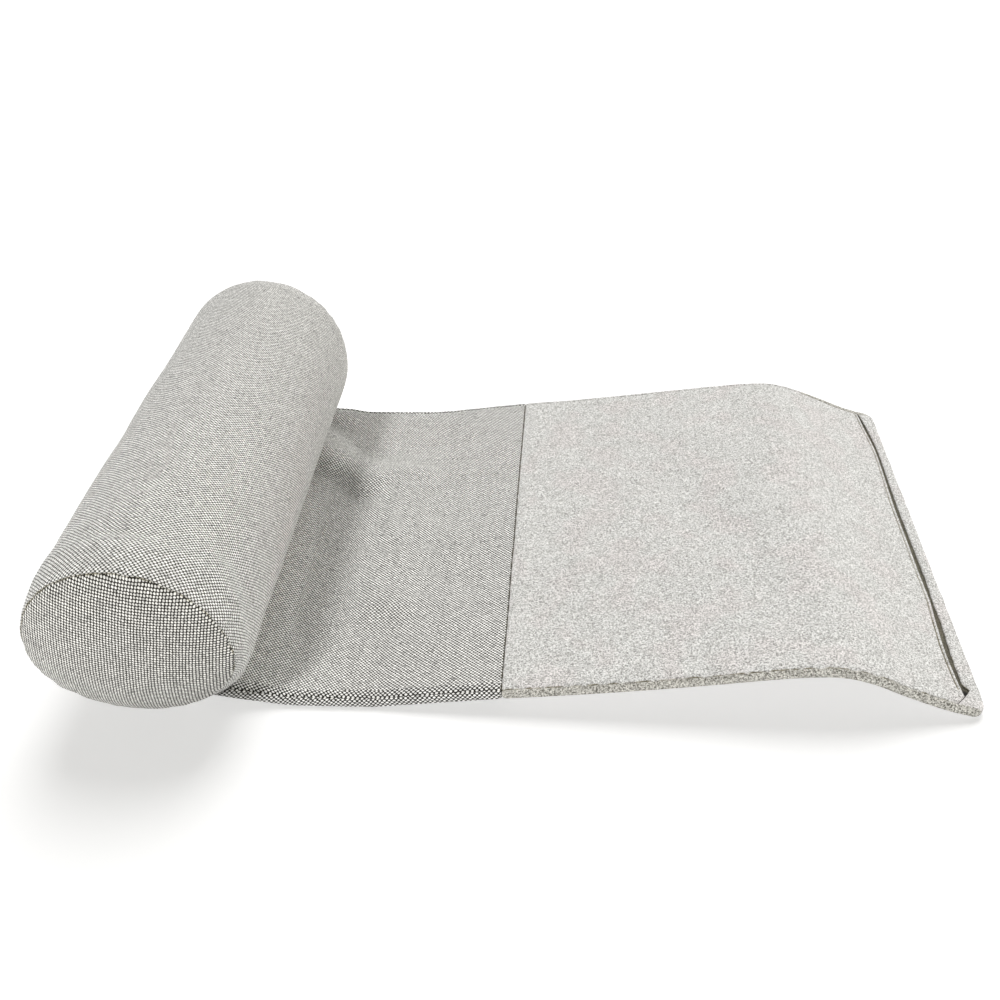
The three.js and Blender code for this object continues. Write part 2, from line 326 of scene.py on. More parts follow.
def add_light(floor):
    """A soft studio: the world lights little but looks white, and the floor has a lamp of its own."""
    world = bpy.data.worlds.new("studio")
    world.use_nodes = True
    tree = world.node_tree
    sky = tree.nodes["Background"].inputs
    sky["Color"].default_value = (1, 0.985, 0.93, 1)
    seen = add_node(tree, "ShaderNodeLightPath").outputs["Is Camera Ray"]
    tree.links.new(calc(tree, "MULTIPLY_ADD", seen, 0.80, 0.30), sky["Strength"])
    scene.world = world
    key = add_lamp("key", (-0.316, -0.58, 0.752), 1.95, 12)
    right = add_lamp("right", (0.80, 0.50, 0.33), 1.6, 35, (1, 0.99, 0.96))
    left = add_lamp("left", (-0.90, -0.15, 0.40), 0.4, 50)
    back = add_lamp("back", (0.12, 0.86, 0.50), 0.9, 40)
    over = add_lamp("over", (0.06, 0.58, 0.81), 2.3, 45)
    for name, state, lamps in (("all but the floor", "EXCLUDE", (key, right, left, back)),
                               ("the floor alone", "INCLUDE", (over,))):
        group = bpy.data.collections.new(name)
        group.objects.link(floor)
        group.collection_objects[0].light_linking.link_state = state
        for lamp in lamps:
            lamp.light_linking.receiver_collection = group
    scene.view_settings.view_transform = "Standard"
    scene.view_settings.look = "None"


# Shader nodes

def plain_material(name, surface):
    """A material and its shader, with what is the same all over set on the shader itself."""
    material = bpy.data.materials.new(name)
    material.use_nodes = True
    shader = material.node_tree.nodes["Principled BSDF"]
    for label, value in surface.items():
        shader.inputs[label].default_value = value
    return material, shader


def add_node(tree, kind, inputs=(), **settings):
    made = tree.nodes.new(kind)
    for key, value in settings.items():
        setattr(made, key, value)
    for key, value in dict(inputs).items():
        if isinstance(value, bpy.types.NodeSocket):
            tree.links.new(value, made.inputs[key])
        else:
            made.inputs[key].default_value = value
    return made


def calc(tree, operation, *values):
    """One Math node."""
    return add_node(tree, "ShaderNodeMath", enumerate(values), operation=operation).outputs[0]


def noise(tree, place, scale, detail=2.0, roughness=0.5):
    made = add_node(tree, "ShaderNodeTexNoise",
                    {"Vector": place, "Scale": scale, "Detail": detail, "Roughness": roughness})
    return made.outputs["Fac"]


def step(tree, value, low, high, to_low=0.0, to_high=1.0):
    """A soft step between two values."""
    made = add_node(tree, "ShaderNodeMapRange", {
        "Value": value, "From Min": low, "From Max": high, "To Min": to_low, "To Max": to_high,
    }, interpolation_type="SMOOTHSTEP")
    return made.outputs["Result"]


def blend_colors(tree, share, first, second):
    made = add_node(tree, "ShaderNodeMix", data_type="RGBA", inputs={0: share, 6: first, 7: second})
    return made.outputs[2]


def new_group(name, sockets_in, sockets_out):
    tree = bpy.data.node_groups.new(name, "ShaderNodeTree")
    for label, kind, value in sockets_in:
        socket = tree.interface.new_socket(label, in_out="INPUT", socket_type=kind)
        if value is not None:
            socket.default_value = value
    for label, kind in sockets_out:
        tree.interface.new_socket(label, in_out="OUTPUT", socket_type=kind)
    return tree, tree.nodes.new("NodeGroupInput").outputs, tree.nodes.new("NodeGroupOutput").inputs


def weave_group():
    """Two yarns crossing: light ones float in staggered dots, darker ones show between them, and the gaps
    between all yarns are painted near black as shade.
    """
    tree, given, out = new_group("basket weave", [
        ("Cloth", "NodeSocketVector", None),
        ("Across", "NodeSocketFloat", 0.0018),
        ("Along", "NodeSocketFloat", 0.0016),
        ("Light Yarn", "NodeSocketColor", (0.7, 0.69, 0.66, 1)),
        ("Dark Yarn", "NodeSocketColor", (0.2, 0.19, 0.15, 1)),
        ("Gap", "NodeSocketColor", (0.03, 0.03, 0.02, 1)),
        ("Float Size", "NodeSocketFloat", 1.0),
        ("Unevenness", "NodeSocketFloat", 0.3),
        ("Slant", "NodeSocketFloat", 0.0),
    ], [("Color", "NodeSocketColor"), ("Height", "NodeSocketFloat")])
    plus, minus, times = (partial(calc, tree, kind) for kind in ("ADD", "SUBTRACT", "MULTIPLY"))
    place = add_node(tree, "ShaderNodeSeparateXYZ", {0: given["Cloth"]})
    wide, short = (add_node(tree, "ShaderNodeSeparateXYZ", {0: add_node(tree, "ShaderNodeTexNoise", {
        "Vector": given["Cloth"], "Scale": scale, "Detail": 1.0,
    }).outputs["Color"]}) for scale in (55.0, 330.0))
    a, b = (plus(plus(calc(tree, "DIVIDE", place.outputs[i], given[pitch]), times(wide.outputs[i], 0.5)),
                 times(short.outputs[i], 0.55)) for i, pitch in enumerate(("Across", "Along")))
    s, t = times(plus(a, b), 0.5), times(minus(a, b), 0.5)
    near_s, near_t = calc(tree, "ROUND", s), calc(tree, "ROUND", t)
    off_s, off_t = minus(s, near_s), minus(t, near_t)
    off_a, off_b = (calc(tree, "ABSOLUTE", off) for off in (plus(off_s, off_t), minus(off_s, off_t)))

    def float_of(da, db, wide, long):
        x, y = (calc(tree, "DIVIDE", off, times(given["Float Size"], size))
                for off, size in ((da, wide), (db, long)))
        return plus(times(x, x), times(y, y))

    slant = minus(times(off_s, off_s), times(off_t, off_t))
    light_far = plus(float_of(off_a, off_b, 0.80, 0.62), times(slant, given["Slant"]))
    larger, smaller = calc(tree, "MAXIMUM", off_a, off_b), calc(tree, "MINIMUM", off_a, off_b)
    dark_far = float_of(minus(1.0, larger), smaller, 0.46, 0.42)
    light_mask = step(tree, light_far, 1.15, 0.85)
    dark_mask = step(tree, dark_far, 1.2, 0.8)
    dot = add_node(tree, "ShaderNodeCombineXYZ", {0: near_s, 1: near_t, 2: 0.5}).outputs[0]
    chance, warp, weft = (
        add_node(tree, "ShaderNodeTexWhiteNoise", {key: place}, noise_dimensions=kind).outputs["Value"]
        for key, place, kind in ((0, dot, "3D"), ("W", plus(near_s, near_t), "1D"),
                                 ("W", minus(near_s, near_t), "1D")))
    patchy = noise(tree, given["Cloth"], 260.0)
    fibre = noise(tree, given["Cloth"], 2600.0, 2.0, 0.6)
    mixed = plus(times(plus(warp, weft), 0.2), times(chance, 0.8))
    for part in (step(tree, chance, 0.985, 0.992, 0.0, 0.5), times(patchy, 0.5), times(fibre, 0.5)):
        mixed = plus(mixed, part)
    tone = minus(1.0, times(given["Unevenness"], minus(mixed, 1.10)))
    tones = add_node(tree, "ShaderNodeCombineXYZ", {0: tone, 1: tone, 2: tone}).outputs[0]
    # Where no yarn shows, the gap colour is painted shade.
    under = blend_colors(tree, dark_mask, given["Gap"], given["Dark Yarn"])
    color = blend_colors(tree, light_mask, under, given["Light Yarn"])
    toned = add_node(tree, "ShaderNodeVectorMath", {0: color, 1: tones}, operation="MULTIPLY")
    tree.links.new(toned.outputs[0], out["Color"])
    light_dome, dark_dome = (calc(tree, "SQRT", calc(tree, "MAXIMUM", minus(1.3, far), 0.0))
                             for far in (light_far, dark_far))
    height = plus(calc(tree, "MAXIMUM", light_dome, times(dark_dome, 0.6)), times(fibre, 0.25))
    tree.links.new(height, out["Height"])
    return tree


def felt_group():
    """Pressed wool: soft grey clouds, darker fibres and flecks, faint warm patches."""
    tree, given, out = new_group("pressed wool", [
        ("Place", "NodeSocketVector", None),
        ("Light Wool", "NodeSocketColor", (0.66, 0.655, 0.635, 1)),
        ("Dark Wool", "NodeSocketColor", (0.34, 0.33, 0.30, 1)),
        ("Warm Wool", "NodeSocketColor", (0.66, 0.62, 0.60, 1)),
        ("Clouds", "NodeSocketFloat", 0.25),
        ("Flecks", "NodeSocketFloat", 0.6),
    ], [("Color", "NodeSocketColor"), ("Height", "NodeSocketFloat")])
    plus, times = partial(calc, tree, "ADD"), partial(calc, tree, "MULTIPLY")
    wide = noise(tree, given["Place"], 24.0)
    clouds = noise(tree, given["Place"], 130.0, 3.0, 0.6)
    flecks = noise(tree, given["Place"], 640.0, 3.0, 0.8)
    specks = noise(tree, given["Place"], 900.0, 1.0)
    fibres = noise(tree, add_node(tree, "ShaderNodeMapping", {
        "Vector": given["Place"], "Rotation": (0.3, 0.5, 0.9), "Scale": (1.0, 2.6, 1.0),
    }).outputs[0], 480.0, 3.0, 0.8)
    color = blend_colors(tree, step(tree, wide, 0.45, 0.65), given["Light Wool"], given["Warm Wool"])
    for mask, strength in ((step(tree, clouds, 0.38, 0.68), given["Clouds"]),
                           (step(tree, flecks, 0.44, 0.62), given["Flecks"]),
                           (step(tree, fibres, 0.50, 0.64), times(given["Flecks"], 0.8)),
                           (step(tree, specks, 0.62, 0.70), given["Flecks"])):
        color = blend_colors(tree, times(mask, strength), color, given["Dark Wool"])
    tree.links.new(color, out["Color"])
    height = plus(plus(times(clouds, 0.8), times(flecks, 0.5)), times(fibres, 0.4))
    tree.links.new(height, out["Height"])
    return tree


def painted_shade_in_seams(tree, color):
    """Painted shade: the colour darkens where a point lies down in a seam, fold or opening, to near black
    where it is deepest.
    """
    # The seam attribute holds the painted shade that sewn stores on each point.
    seam = add_node(tree, "ShaderNodeAttribute", attribute_name="seam", attribute_type="GEOMETRY")
    first = step(tree, seam.outputs["Fac"], 0.0, 0.5)
    last = step(tree, seam.outputs["Fac"], 0.45, 1.0)
    dim = add_node(tree, "ShaderNodeVectorMath", {0: color, 1: (0.40, 0.37, 0.27)}, operation="MULTIPLY")
    color = blend_colors(tree, first, color, dim.outputs["Vector"])
    return blend_colors(tree, last, color, (0.02, 0.018, 0.012, 1))


def cloth_material(name, group, values, strength, relief, surface):
    """A cloth's finish and its pattern node, which gives the colour and the height."""
    material, shader = plain_material(name, surface)
    tree = material.node_tree
    pattern = add_node(tree, "ShaderNodeGroup", values, node_tree=group)
    bump = add_node(tree, "ShaderNodeBump", {
        "Strength": strength, "Distance": relief, "Height": pattern.outputs["Height"]})
    tree.links.new(painted_shade_in_seams(tree, pattern.outputs["Color"]), shader.inputs["Base Color"])
    tree.links.new(bump.outputs[0], shader.inputs["Normal"])
    return material, pattern


def woven_material(name, group, across, along_cloth, light, dark, gap, float_size, unevenness, relief,
                   slant=0.0):
    material, pattern = cloth_material(name, group, {
        "Across": across, "Along": along_cloth, "Light Yarn": (*light, 1), "Dark Yarn": (*dark, 1),
        "Gap": (*gap, 1), "Float Size": float_size, "Unevenness": unevenness, "Slant": slant,
    }, 0.8, relief, {
        "Roughness": 0.9, "Specular IOR Level": 0.2, "Sheen Weight": 0.25, "Sheen Roughness": 0.5})
    tree = material.node_tree
    tree.links.new(add_node(tree, "ShaderNodeUVMap", uv_map="cloth").outputs[0], pattern.inputs["Cloth"])
    return material


def felt_material(name, group, light, dark, warm, clouds, flecks, relief):
    material, pattern = cloth_material(name, group, {
        "Light Wool": (*light, 1), "Dark Wool": (*dark, 1), "Warm Wool": (*warm, 1),
        "Clouds": clouds, "Flecks": flecks,
    }, 0.7, relief, {
        "Roughness": 0.95, "Specular IOR Level": 0.1, "Sheen Weight": 0.2, "Sheen Roughness": 0.6})
    tree = material.node_tree
    tree.links.new(add_node(tree, "ShaderNodeTexCoord").outputs["Object"], pattern.inputs["Place"])
    return material


def thread_material(name, color):
    material, shader = plain_material(name, {"Roughness": 0.85})
    tree = material.node_tree
    place = add_node(tree, "ShaderNodeTexCoord").outputs["Object"]
    worn = noise(tree, place, 900.0)
    shade = blend_colors(tree, worn, (*[c * 0.6 for c in color], 1), (*[c * 1.4 for c in color], 1))
    tree.links.new(shade, shader.inputs["Base Color"])
    return material


# The roll

AROUND = 192
ANGLES = 2 * np.pi * np.arange(AROUND + 1) / AROUND - np.pi / 2
SIDE_ROWS = 112
GRID_SCALE = 0.86
PANEL_RINGS = [0.89, 0.92, 0.95, 0.975]
SWELL_KEPT = 0.4
SWELL_FRAMES = 20
SWELL_CAP = 0.006
ARC_RADIUS = 0.0885

# Seeds for each end, near and far: how its seam wanders, how dark it shows, and how the cloth puckers
WANDER_SEED = {-1: 41, 1: 51}
SHADE_SEED = {-1: 111, 1: 121}
WRAP_SEED = {-1: 61, 1: 71}
PANEL_SEED = {-1: 81, 1: 91}


def ring_shape(side, in_from_seam):
    shoulder = np.clip(in_from_seam / SHOULDER, 0, 1)
    nearness = 1 - smooth(in_from_seam, 0, RISE_LENGTH) if side < 0 else 0 * in_from_seam
    radius = SEAM_RADIUS + (ROLL_RADIUS - SEAM_RADIUS) * np.sin(shoulder * np.pi / 2)
    return radius, NEAR_RISE * nearness, NEAR_LEAN * nearness


def roll_point(side, in_from_seam, angle, scale, depth=0.0):
    """A point of the roll's side or, with a scale below 1, of its crowned end."""
    radius, rise, lean = ring_shape(side, in_from_seam)
    lift = np.where(np.sin(angle) < 0, 1 - rise, 1)
    x = scale * radius * np.cos(angle)
    z = np.maximum(AXIS_Z + scale * radius * np.sin(angle) * lift, 0)
    bulge = CROWN * (1 - scale ** CROWN_POWER) - depth - in_from_seam
    y = side * (SEAM_Y + bulge) + lean * (AXIS_Z - z)
    return np.stack([x, y, z], -1)


def side_grid(places):
    """Rows of the roll's side at places along it, from the near seam to the far one."""
    rows = []
    for place in places:
        side = -1 if place < 0 else 1
        rows.append(roll_point(side, SEAM_Y - abs(place), ANGLES, 1.0))
    return np.array(rows)


def disc_places():
    """Places over a round panel on a square net: how far out from its middle, and the angle."""
    half = np.sqrt(2) * np.sin(np.linspace(-np.pi / 4, np.pi / 4, AROUND // 4 + 1))
    u, v = np.meshgrid(half, half, indexing="ij")
    x, z = u * np.sqrt(1 - v * v / 2), v * np.sqrt(1 - u * u / 2)
    return np.hypot(x, z), np.arctan2(z, x)


def disc_grids(side):
    """The net in the middle of an end panel and the rings round it."""
    reach, angle = disc_places()
    middle = roll_point(side, 0.0, angle, reach * GRID_SCALE)
    scales = np.array([GRID_SCALE, *PANEL_RINGS, 1.0])[:, None]
    rings = roll_point(side, 0.0, ANGLES[None, :], scales)
    return middle, rings


def shrunk(grid, share):
    """The filled shape starts a little slimmer, as it swells."""
    middle = np.array([0, 0, AXIS_Z])
    return middle + (grid - middle) * np.array([share, 1.0, share])


def fill_out(patches, pinned, cap):
    """Blows the cushion up with cloth simulation, its seams held, and caps how far a point moves in all."""
    points, faces, _, inverse = weld(patches)
    mesh = bpy.data.meshes.new("filling")
    mesh.from_pydata(points.tolist(), [], faces)
    face_outwards(mesh)
    cushion = linked("filling", mesh)
    held = cushion.vertex_groups.new(name="seams")
    held.add(sorted({int(i) for i in inverse[pinned]}), 1.0, "REPLACE")
    cloth = cushion.modifiers.new("filling", "CLOTH")
    for label, value in {
            "quality": 5, "mass": 0.2, "air_damping": 2.0, "tension_stiffness": 30,
            "compression_stiffness": 30, "shear_stiffness": 10, "bending_stiffness": 0.6,
            "use_pressure": True, "uniform_pressure_force": 4.0, "shrink_min": -0.008,
            "vertex_group_mass": "seams"}.items():
        setattr(cloth.settings, label, value)
    cloth.settings.effector_weights.gravity = 0.0
    cloth.collision_settings.use_collision = False
    cloth.point_cache.frame_start = 1
    cloth.point_cache.frame_end = SWELL_FRAMES
    for moment in range(1, SWELL_FRAMES + 1):
        scene.frame_set(moment)
    blown = bpy.data.meshes.new_from_object(cushion.evaluated_get(bpy.context.evaluated_depsgraph_get()))
    result = np.empty(len(blown.vertices) * 3)
    blown.vertices.foreach_get("co", result)
    result = result.reshape(-1, 3)
    bpy.data.objects.remove(cushion)
    scene.frame_set(1)
    moved = result - points
    length = np.linalg.norm(moved, axis=1, keepdims=True)
    result = points + moved * np.minimum(1, cap / np.maximum(length, 1e-9))
    filled, start = [], 0
    for patch in patches:
        count = patch.shape[0] * patch.shape[1]
        filled.append(result[inverse[start:start + count]].reshape(patch.shape))
        start += count
    return filled


def normals_of(grid):
    """Outward directions of a grid that closes round the roll."""
    down = np.gradient(grid, axis=0)
    round_it = np.roll(grid[:, :-1], -1, axis=1) - np.roll(grid[:, :-1], 1, axis=1)
    round_it = np.concatenate([round_it, round_it[:, :1]], 1)
    normal = np.cross(round_it, down)
    normal /= np.linalg.norm(normal, axis=2, keepdims=True)
    outward = np.sum(normal * (grid - grid.mean(axis=(0, 1))), axis=2, keepdims=True)
    return normal * np.where(outward.mean() < 0, -1, 1)


def resampled(grid, at):
    """Rows between the rows of a grid, on smooth curves; at is in rows."""
    last = len(grid) - 1
    i = np.clip(np.floor(at).astype(int), 0, last - 1)
    t = (at - i)[:, None, None]
    p0, p1 = grid[np.maximum(i - 1, 0)], grid[i]
    p2, p3 = grid[i + 1], grid[np.minimum(i + 2, last)]
    m1, m2 = (p2 - p0) / 2, (p3 - p1) / 2
    return ((2 * t**3 - 3 * t**2 + 1) * p1 + (t**3 - 2 * t**2 + t) * m1
            + (3 * t**2 - 2 * t**3) * p2 + (t**3 - t**2) * m2)


def seam_wave(seed):
    """How a seam wanders: out along the roll, and in towards its axis."""
    angle = ANGLES - ANGLES[0]
    return (0.0005 * ring_ripple(angle, 9, 26, seed) + 0.00018 * ring_ripple(angle, 40, 80, seed + 1),
            0.0003 * ring_ripple(angle, 12, 40, seed + 2))


def wander_seam(grid, distance, side):
    """Moves a grid near its seam as the stitched line wanders."""
    out, inward = seam_wave(WANDER_SEED[side])
    fade = np.exp(-distance / 0.010)[:, None]
    moved = grid.copy()
    moved[:, :, 1] += side * out * fade
    radial = grid[:, :, [0, 2]] - np.array([0, AXIS_Z])
    radial /= np.maximum(np.linalg.norm(radial, axis=2, keepdims=True), 1e-9)
    moved[:, :, [0, 2]] -= radial * (inward * fade)[:, :, None]
    return moved


def pull_in(grid, normal, seam_normal, distance, pucker_seed):
    """The cloth dips into its seam and puckers beside it."""
    blend = smooth(distance, 0, 0.005)[:, None, None]
    direction = seam_normal[None] * (1 - blend) + normal * blend
    direction /= np.linalg.norm(direction, axis=2, keepdims=True)
    angle = ANGLES - ANGLES[0]
    dip = 0.0013 * np.exp(-distance / 0.0011) + 0.0006 * np.exp(-distance / 0.005)
    pucker = (0.00014 * ring_ripple(angle, 34, 62, pucker_seed) * np.exp(-distance / 0.005)[:, None]
              + 0.00014 * ring_ripple(angle, 14, 30, pucker_seed + 1) * np.exp(-distance / 0.012)[:, None])
    return grid - direction * (dip[:, None] - pucker * smooth(distance, 0, 0.002)[:, None])[:, :, None]


def seam_shade(distance, side):
    """How much painted shade an end seam gets, unevenly, most on the roll's left."""
    strength = 0.50 + 0.22 * ring_ripple(ANGLES - ANGLES[0], 8, 30, SHADE_SEED[side])
    strength -= 0.22 * np.cos(ANGLES) * (side < 0)
    return np.exp(-(distance / 0.0009) ** 2)[:, None] * np.clip(strength, 0.1, 1)[None, :]


def make_roll(wrap_finish, panel_finish):
    rows = np.linspace(-SEAM_Y, SEAM_Y, SIDE_ROWS)
    side = side_grid(rows)
    near_net, near_rings = disc_grids(-1)
    far_net, far_rings = disc_grids(1)
    patches = [side, near_net, near_rings, far_net, far_rings]
    swell = np.minimum(1, (SEAM_Y - np.abs(rows)) / 0.03)[:, None, None]
    slim = [side + (shrunk(side, 0.99) - side) * swell] + [patch.copy() for patch in patches[1:]]
    pinned = np.concatenate([np.arange(AROUND + 1), (SIDE_ROWS - 1) * (AROUND + 1) + np.arange(AROUND + 1)])
    filled = fill_out(slim, pinned, SWELL_CAP)
    patches = [patch + SWELL_KEPT * (blown - patch) for patch, blown in zip(patches, filled)]
    side, near_net, near_rings, far_net, far_rings = patches
    side[:, :, 2] = np.maximum(side[:, :, 2], 0.0)
    wrap = make_wrap(side, near_rings, far_rings, wrap_finish)
    near = make_panel("end_cloth_near", -1, near_net, near_rings, side, panel_finish)
    far = make_panel("end_cloth_far", 1, far_net, far_rings, side, panel_finish)
    return wrap, near, far


def seam_direction(side_grid_normals, ring_normals, end):
    """Way out of the seam, halfway between the side's and the panel's."""
    total = side_grid_normals[0 if end < 0 else -1] + ring_normals[-1]
    return total / np.linalg.norm(total, axis=1, keepdims=True)


def ring_normals_of(rings, end):
    normal = normals_of(rings)
    facing = np.sign(np.mean(normal[:, :, 1])) * end
    return normal * (facing if facing else 1)


def make_wrap(side, near_rings, far_rings, finish):
    distance = spaced(0.00012, 2 * SEAM_Y - 0.00012, 0.0058)
    at = distance / (2 * SEAM_Y) * (SIDE_ROWS - 1)
    grid = resampled(side, at)
    base = normals_of(side)
    normal = resampled(base, at)
    normal /= np.linalg.norm(normal, axis=2, keepdims=True)
    far_distance = 2 * SEAM_Y - distance
    near_way = seam_direction(base, ring_normals_of(near_rings, -1), -1)
    far_way = seam_direction(base, ring_normals_of(far_rings, 1), 1)
    along_roll = distance[:, None] + 0 * ANGLES[None, :]
    arc = (ANGLES[None, :] + 0 * distance[:, None]) * ARC_RADIUS
    soft = 0.0005 * ripple(arc, along_roll, 0.11, 31) + 0.00016 * ripple(arc, along_roll, 0.035, 32)
    soft *= smooth(np.minimum(distance, far_distance), 0, 0.02)[:, None]
    soft[:, -1] = soft[:, 0] = (soft[:, 0] + soft[:, -1]) / 2
    grid = grid + normal * soft[:, :, None]
    grid = wander_seam(grid, distance, -1)
    grid = wander_seam(grid, far_distance, 1)
    grid = pull_in(grid, normal, near_way, distance, WRAP_SEED[-1])
    grid = pull_in(grid, normal, far_way, far_distance, WRAP_SEED[1])
    grid[:, :, 2] = np.maximum(grid[:, :, 2], 0.0)
    grid[:, -1] = grid[:, 0]
    # Painted shade along both end seams; the caps beneath get none.
    shade = np.maximum(seam_shade(distance, -1), seam_shade(far_distance, 1))
    caps, cap_cloth = [], []
    for end, way, row in ((-1, near_way, grid[0]), (1, far_way, grid[-1])):
        inner_rings = [roll_point(end, 0.0, ANGLES, scale, CAP_DEPTH) for scale in (0.93, GRID_SCALE)]
        reach, angle = disc_places()
        inner_net = roll_point(end, 0.0, angle, reach * GRID_SCALE, CAP_DEPTH)
        caps += [np.array([row, row - way * 0.003, *inner_rings]), inner_net]
        cap_cloth += [caps[-2][:, :, [0, 2]], inner_net[:, :, [0, 2]]]
    cloth = np.stack([arc, along_roll], -1)
    wrap = sewn("roll_wrap", [grid, *caps], [cloth, *cap_cloth],
                [shade, *(np.zeros(cap.shape[:2]) for cap in caps)])
    return refined(wrap, finish)


def make_panel(name, end, net, rings, side, finish):
    scale = np.array([GRID_SCALE, *PANEL_RINGS, 1.0])
    distance_rows = (1 - scale) * SEAM_RADIUS
    wanted = np.array([0.14, 0.45, 0.9, 1.5, 2.3, 3.4, 4.8, 6.6, 8.8]) / 1000
    place = np.interp(-wanted, -distance_rows, np.arange(len(scale)))
    base = ring_normals_of(rings, end)
    fine = resampled(rings, place)[::-1]
    normal = resampled(base, place)[::-1]
    normal /= np.linalg.norm(normal, axis=2, keepdims=True)
    way = seam_direction(normals_of(side), base, end)
    distance = wanted[::-1]
    fine = wander_seam(fine, distance, end)
    fine = pull_in(fine, normal, way, distance, PANEL_SEED[end])
    fine = np.concatenate([rings[:1], fine])
    fine[:, -1] = fine[:, 0]
    net = net.copy()
    flat = net[:, :, [0, 2]]
    net[:, :, 1] += end * 0.0004 * ripple(flat[..., 0], flat[..., 1], 0.05, 101) * smooth(
        1 - disc_places()[0], 0, 0.25)
    inner_net = net - np.array([0, end * PANEL_CLOTH, 0])
    inward = np.concatenate([np.full(len(fine) - 1, PANEL_CLOTH), [0.0007]])
    inner_rings = fine - np.array([0, end, 0]) * inward[:, None, None]
    inner_rings[0] = rings[0] - np.array([0, end * PANEL_CLOTH, 0])
    sine, cosine = math.sin(math.radians(PANEL_TURN)), math.cos(math.radians(PANEL_TURN))

    def cloth_of(patch):
        x, z = patch[..., 0], patch[..., 2] - AXIS_Z
        return np.stack([x * cosine - z * sine, x * sine + z * cosine], -1)

    patches = [net, fine, inner_net, inner_rings, np.stack([fine[-1], inner_rings[-1]])]
    # Painted shade along the panel's seam; none on the rest.
    shades = [np.zeros(patch.shape[:2]) for patch in patches]
    shades[1][1:] = seam_shade(distance, end)
    return refined(sewn(name, patches, [cloth_of(patch) for patch in patches], shades), finish)


# The tail

def underside(x, y):
    rise = along(TAIL_RISE, x, 1)
    rise = rise + (along(TAIL_RISE, x, 2) - rise) * (y - TAIL_NEAR) / (TAIL_FAR - TAIL_NEAR)
    for (ax, ay), (bx, by), height, width in FOLDS:
        dx, dy = bx - ax, by - ay
        t = np.clip(((x - ax) * dx + (y - ay) * dy) / (dx * dx + dy * dy), 0, 1)
        away = np.hypot(x - ax - t * dx, y - ay - t * dy) / width
        rise = rise + height * np.exp(-away * away)
    soft = 0.0006 * ripple(x, y, 0.12, 11) + 0.0002 * ripple(x, y, 0.045, 12)
    from_edge = np.minimum(y - TAIL_NEAR, TAIL_FAR - y)
    soft = soft * smooth(x, 0.10, 0.16) * (1 - smooth(x, 0.63, 0.67))
    rise = rise + soft * (0.15 + 0.85 * smooth(from_edge, 0, 0.06))
    return 0.5 * (rise + np.sqrt(rise * rise + 2.5e-7)) - 0.0002


def tail_point(x, y, depth):
    """A point of the tail, a stated depth above the underside and square to it."""
    x, y, depth = np.broadcast_arrays(x, y, depth)
    size = 0.002
    slope_x = (underside(x + size, y) - underside(x - size, y)) / (2 * size)
    slope_y = (underside(x, y + size) - underside(x, y - size)) / (2 * size)
    normal = np.stack([-slope_x, -slope_y, np.ones_like(slope_x)], -1)
    normal /= np.linalg.norm(normal, axis=-1, keepdims=True)
    return np.stack([x, y, underside(x, y)], -1) + normal * depth[..., None]


LENGTHS_X = np.linspace(0.03, 0.70, 671)
LENGTHS = np.concatenate([[0], np.cumsum(np.hypot(
    np.diff(LENGTHS_X), np.diff(underside(LENGTHS_X, 0.0 * LENGTHS_X))))])


def cloth_length(x):
    """How far along the cloth a place is."""
    return np.interp(x, LENGTHS_X, LENGTHS)


def roll_side(y, z):
    """Where the roll's side stands at a height."""
    in_from_seam = SEAM_Y - np.abs(y)
    near = ring_shape(-1, in_from_seam)
    far = ring_shape(1, in_from_seam)
    radius = np.where(y < 0, near[0], far[0])
    rise = np.where(y < 0, near[1], far[1])
    sine = np.clip((z - AXIS_Z) / (radius * (1 - rise)), -1, 0)
    return radius * np.sqrt(1 - sine * sine)


def root(y, depth):
    """Where a depth of the tail meets the roll's side."""
    x = roll_side(y, depth)
    for _ in range(6):
        x = roll_side(y, tail_point(x, y, depth)[..., 2]) + ROOT_GAP
    return x


def far_band(x):
    """The far turned-up edge shows wider where the tail drops to its end."""
    return 1 + 1.1 * smooth(x, 0.565, 0.640)


def mouth(y, share):
    return along(MOUTH, y, 1) + share * along(MOUTH, y, 2)


def fold_edge(y):
    """Where the slanting edge of the strip runs at the near corner."""
    return np.interp(y, FOLD_EDGE[:, 0], FOLD_EDGE[:, 1])


def front_lip(y):
    """Free edge of the front felt, cut by the strip's slanting edge at the near corner."""
    far = 0.0030 * np.exp(-((TAIL_FAR - 0.0066 - y) / 0.0030) ** 2)
    lip = mouth(y, -0.5) - far
    return np.where(y < FOLD_EDGE[2, 0], np.minimum(lip, fold_edge(y) - 0.0005), lip)


def strip_lip(y):
    """Edge of the folded-over strip: it steps back into the notch, then slants to the near band."""
    opening = mouth(y, 0.5)
    corner = smooth(-y, -NOTCH_START, -FOLD_EDGE[2, 0])
    return np.where(y < FOLD_EDGE[2, 0], fold_edge(y), opening + (FOLD_EDGE[2, 1] - opening) * corner)


def cloth_skew(x):
    """How far the tail's weave has slipped sideways along the tail."""
    places = np.array([0.0, 0.150, 0.190, 0.300])
    return np.interp(x, places, np.array([0.0, 0.0375, 0.0405, 0.0340]))


